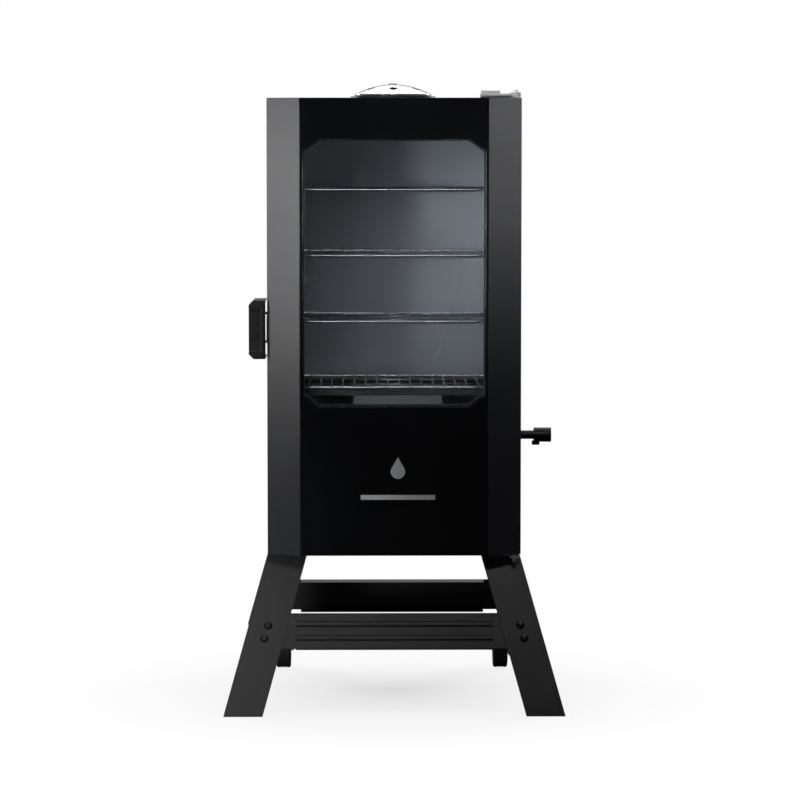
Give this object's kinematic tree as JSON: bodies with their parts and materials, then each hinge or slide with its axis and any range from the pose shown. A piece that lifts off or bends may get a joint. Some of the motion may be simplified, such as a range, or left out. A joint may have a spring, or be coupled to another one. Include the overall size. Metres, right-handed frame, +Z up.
{
  "type": "electric cabinet smoker",
  "caption": "Upright insulated smoker cabinet with a windowed hinged door, wire racks, side chip loader, turning top vent and a splayed stand with rear wheels.",
  "frame": {"origin": "on the floor, at the centre of the whole object's footprint", "axes": "+Z up, -Y towards the user in front of the door, +X to the door's hinge side"},
  "size_m": [0.57, 0.575, 1.0563],
  "materials": {
    "cabinet_paint": "satin black powder coat",
    "door_paint": "satin charcoal powder coat",
    "gloss_panel": "gloss black enamel",
    "liner_steel": "rolled, slightly dulled",
    "wool": "mineral wool",
    "rack_chrome": "plated wire",
    "pan_enamel": "dark enamel",
    "bowl_steel": "satin steel",
    "element_steel": "heat-darkened tube",
    "zinc": "zinc plated",
    "dark_plastic": "fine-grained black",
    "button_plastic": "satin dark grey",
    "vent_chrome": "polished",
    "lens": "dark tinted",
    "pane": "clear tempered",
    "gasket_cord": "silicone",
    "emblem_metal": "satin",
    "stand_paint": "fine-textured black powder coat",
    "bolt_black": "black oxide",
    "wheel_plastic": "moulded black"
  },
  "bodies": {
    "cabinet": {"outer_shell": "cabinet_paint", "back_cover": "cabinet_paint", "front_frame": "cabinet_paint", "cavity_liner": "liner_steel", "insulation": "wool", "rack_guide_left": "rack_chrome", "rack_guide_right": "rack_chrome", "drip_pan": "pan_enamel", "water_bowl": "bowl_steel", "heating_element": "element_steel", "element_bracket": "zinc", "chip_tray": "pan_enamel", "loader_sleeve": "zinc", "vent_base": "cabinet_paint", "vent_rivet": "zinc", "temperature_probe": "zinc", "controller_housing": "dark_plastic", "control_panel": "dark_plastic", "display_lens": "lens", "power_inlet": "dark_plastic", "latch_base": "bolt_black", "hinge_top": "zinc", "hinge_bottom": "zinc", "hinge_pins": "zinc", "leg_front_left": "stand_paint", "leg_front_right": "stand_paint", "leg_rear_left": "stand_paint", "leg_rear_right": "stand_paint", "cross_panel_front": "stand_paint", "cross_panel_rear": "stand_paint", "leg_bolts": "bolt_black", "wheel_bolts": "zinc", "tray_rails": "cabinet_paint"},
    "door": {"door_shell": "door_paint", "door_front_panel": "gloss_panel", "door_inner_liner": "liner_steel", "door_insulation": "wool", "window_glass_outer": "pane", "window_glass_inner": "pane", "window_tunnel": "cabinet_paint", "door_gasket": "gasket_cord", "emblem": "emblem_metal", "latch_keeper": "zinc"},
    "latch": {"latch_lever": "dark_plastic"},
    "vent_cap": {"vent_damper": "vent_chrome"},
    "loader_carriage": {"loader_cap": "dark_plastic"},
    "loader": {"loader_tube": "bowl_steel", "loader_handle": "dark_plastic"},
    "rack_a": {"rack_1": "rack_chrome"},
    "rack_b": {"rack_2": "rack_chrome"},
    "rack_c": {"rack_3": "rack_chrome"},
    "rack_d": {"rack_4": "rack_chrome"},
    "wheel_l": {"wheel_left": "wheel_plastic"},
    "wheel_r": {"wheel_right": "wheel_plastic"},
    "tray": {"grease_tray": "pan_enamel"},
    "key_power": {"button_power": "button_plastic"},
    "key_heat": {"button_heat": "button_plastic"},
    "key_timer": {"button_timer": "button_plastic"},
    "key_minus": {"button_minus": "button_plastic"},
    "key_plus": {"button_plus": "button_plastic"}
  },
  "joints": [
    {"name": "door_swing", "type": "hinge", "parent": "cabinet", "child": "door", "pos_m": [0.202, -0.2185, 0.265], "axis": [0, 0, 1], "range_deg": [0, 125]},
    {"name": "latch_turn", "type": "hinge", "parent": "cabinet", "child": "latch", "pos_m": [-0.2265, -0.1555, 0.64219], "axis": [0, 0, -1], "range_deg": [0, 60]},
    {"name": "vent_turn", "type": "hinge", "parent": "cabinet", "child": "vent_cap", "pos_m": [0, -0.006, 1.025], "axis": [0, 0, 1], "range_deg": [0, 60]},
    {"name": "loader_slide", "type": "slide", "parent": "cabinet", "child": "loader_carriage", "axis": [1, 0, 0], "range_m": [0, 0.2]},
    {"name": "loader_dump", "type": "hinge", "parent": "loader_carriage", "child": "loader", "pos_m": [0.21, -0.006, 0.447], "axis": [1, 0, 0], "range_deg": [0, 180]},
    {"name": "rack_1_slide", "type": "slide", "parent": "cabinet", "child": "rack_a", "axis": [0, -1, 0], "range_m": [0, 0.012]},
    {"name": "rack_2_slide", "type": "slide", "parent": "cabinet", "child": "rack_b", "axis": [0, -1, 0], "range_m": [0, 0.012]},
    {"name": "rack_3_slide", "type": "slide", "parent": "cabinet", "child": "rack_c", "axis": [0, -1, 0], "range_m": [0, 0.012]},
    {"name": "rack_4_slide", "type": "slide", "parent": "cabinet", "child": "rack_d", "axis": [0, -1, 0], "range_m": [0, 0.012]},
    {"name": "wheel_left_roll", "type": "hinge", "parent": "cabinet", "child": "wheel_l", "pos_m": [-0.2, 0.2475, 0.04], "axis": [1, 0, 0], "continuous": true},
    {"name": "wheel_right_roll", "type": "hinge", "parent": "cabinet", "child": "wheel_r", "pos_m": [0.2, 0.2475, 0.04], "axis": [1, 0, 0], "continuous": true},
    {"name": "grease_tray_slide", "type": "slide", "parent": "cabinet", "child": "tray", "axis": [0, 1, 0], "range_m": [0, 0.15]},
    {"name": "button_power_press", "type": "slide", "parent": "cabinet", "child": "key_power", "axis": [0, 0, -1], "range_m": [0, 0.0015], "stiffness_N_per_m": 400, "springref_m": -0.0005},
    {"name": "button_heat_press", "type": "slide", "parent": "cabinet", "child": "key_heat", "axis": [0, 0, -1], "range_m": [0, 0.0015], "stiffness_N_per_m": 400, "springref_m": -0.0005},
    {"name": "button_timer_press", "type": "slide", "parent": "cabinet", "child": "key_timer", "axis": [0, 0, -1], "range_m": [0, 0.0015], "stiffness_N_per_m": 400, "springref_m": -0.0005},
    {"name": "button_minus_press", "type": "slide", "parent": "cabinet", "child": "key_minus", "axis": [0, 0, -1], "range_m": [0, 0.0015], "stiffness_N_per_m": 400, "springref_m": -0.0005},
    {"name": "button_plus_press", "type": "slide", "parent": "cabinet", "child": "key_plus", "axis": [0, 0, -1], "range_m": [0, 0.0015], "stiffness_N_per_m": 400, "springref_m": -0.0005}
  ]
}
